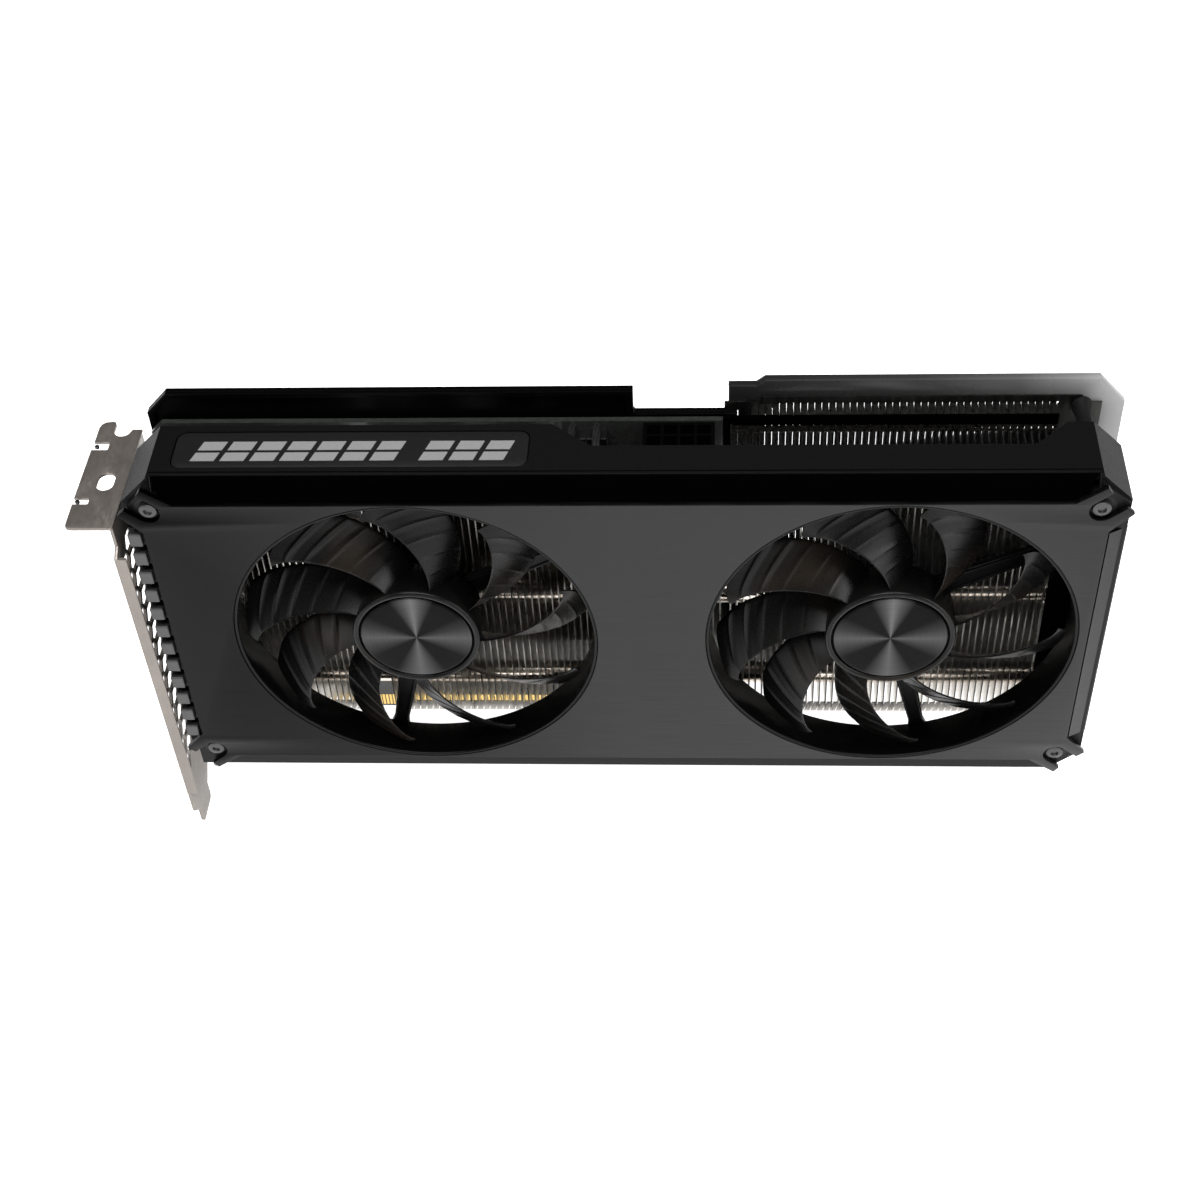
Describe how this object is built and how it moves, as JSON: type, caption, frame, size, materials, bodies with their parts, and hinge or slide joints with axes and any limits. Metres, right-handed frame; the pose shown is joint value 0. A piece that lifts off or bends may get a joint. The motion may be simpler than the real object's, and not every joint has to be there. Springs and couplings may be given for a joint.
{
  "type": "graphics card",
  "caption": "Desktop graphics card with an angular black cooler shroud, open axial fans over a finned heatsink, a backplate with a rear vent and a vented metal bracket.",
  "frame": {"origin": "middle of the bottom face of the long segment of the edge connector, at mid-thickness of the board", "axes": "+X from the I/O bracket to the free end, -Y towards the fans, +Y towards the backplate, +Z away from the slot; the card is upright as if plugged down into its slot"},
  "size_m": [0.2624, 0.0427, 0.1357],
  "materials": {
    "brushed_face": "dark grey, brushed along the card",
    "black_plastic": "satin black",
    "gloss_black": "gloss black",
    "black_sheet": "satin black sheet metal",
    "fan_plastic": "semi-gloss dark grey",
    "hub_disc": "radially brushed black",
    "fins": "bare mill finish",
    "pipes": "nickel plated copper",
    "steel": "plain",
    "black_screws": "black zinc",
    "bracket": "satin nickel",
    "port_shell": "plated",
    "board": "black solder mask",
    "package": "polished silicon and resin",
    "chips": "moulded resin",
    "chokes": "pressed ferrite",
    "can": "plain can",
    "lead": "black insulation",
    "magnet": "ferrite ring in a steel cup",
    "bearing": "sintered bronze",
    "winding": "enamelled copper over laminations"
  },
  "bodies": {
    "card": {"accent_plate": "black_plastic", "backplate": "black_sheet", "backplate_frame": "gloss_black", "backplate_screw_1": "black_screws", "backplate_screw_2": "black_screws", "bracket_screw_1": "steel", "bracket_screw_2": "steel", "capacitor": "can", "choke_1": "chokes", "choke_2": "chokes", "choke_3": "chokes", "cold_plate": "pipes", "cover_screw_1": "black_screws", "cover_screw_2": "black_screws", "cover_screw_3": "black_screws", "cover_screw_4": "black_screws", "fan_plug": "black_plastic", "fin_stack_bridge": "fins", "fin_stack_center": "fins", "fin_stack_left": "fins", "fin_stack_right": "fins", "fin_trim_strip": "black_sheet", "front_plate": "brushed_face", "gloss_strip": "gloss_black", "gpu_package": "package", "heat_pipe_1": "pipes", "heat_pipe_2": "pipes", "io_bracket": "bracket", "left_fan_base": "black_plastic", "left_fan_bearing": "bearing", "left_fan_board": "board", "left_fan_lead": "lead", "left_fan_stator": "winding", "memory_chip_1": "chips", "memory_chip_2": "chips", "memory_chip_3": "chips", "memory_chip_4": "chips", "pcb": "board", "power_connector": "black_plastic", "retention_spring": "steel", "right_fan_base": "black_plastic", "right_fan_bearing": "bearing", "right_fan_board": "board", "right_fan_lead": "lead", "right_fan_stator": "winding", "shroud": "black_plastic", "standoff_post": "black_plastic", "video_port_large": "port_shell", "video_port_small_1": "port_shell", "video_port_small_2": "port_shell", "video_port_small_3": "port_shell"},
    "left_fan": {"left_fan_rotor": "fan_plastic", "left_fan_cap": "hub_disc", "left_fan_magnet": "magnet", "left_fan_shaft": "steel"},
    "right_fan": {"right_fan_rotor": "fan_plastic", "right_fan_cap": "hub_disc", "right_fan_magnet": "magnet", "right_fan_shaft": "steel"}
  },
  "joints": [
    {"name": "left_fan_spin", "type": "hinge", "parent": "card", "child": "left_fan", "pos_m": [-0.0224, -0.028, 0.0652], "axis": [0, -1, 0], "continuous": true},
    {"name": "right_fan_spin", "type": "hinge", "parent": "card", "child": "right_fan", "pos_m": [0.0991, -0.028, 0.0652], "axis": [0, -1, 0], "continuous": true}
  ]
}
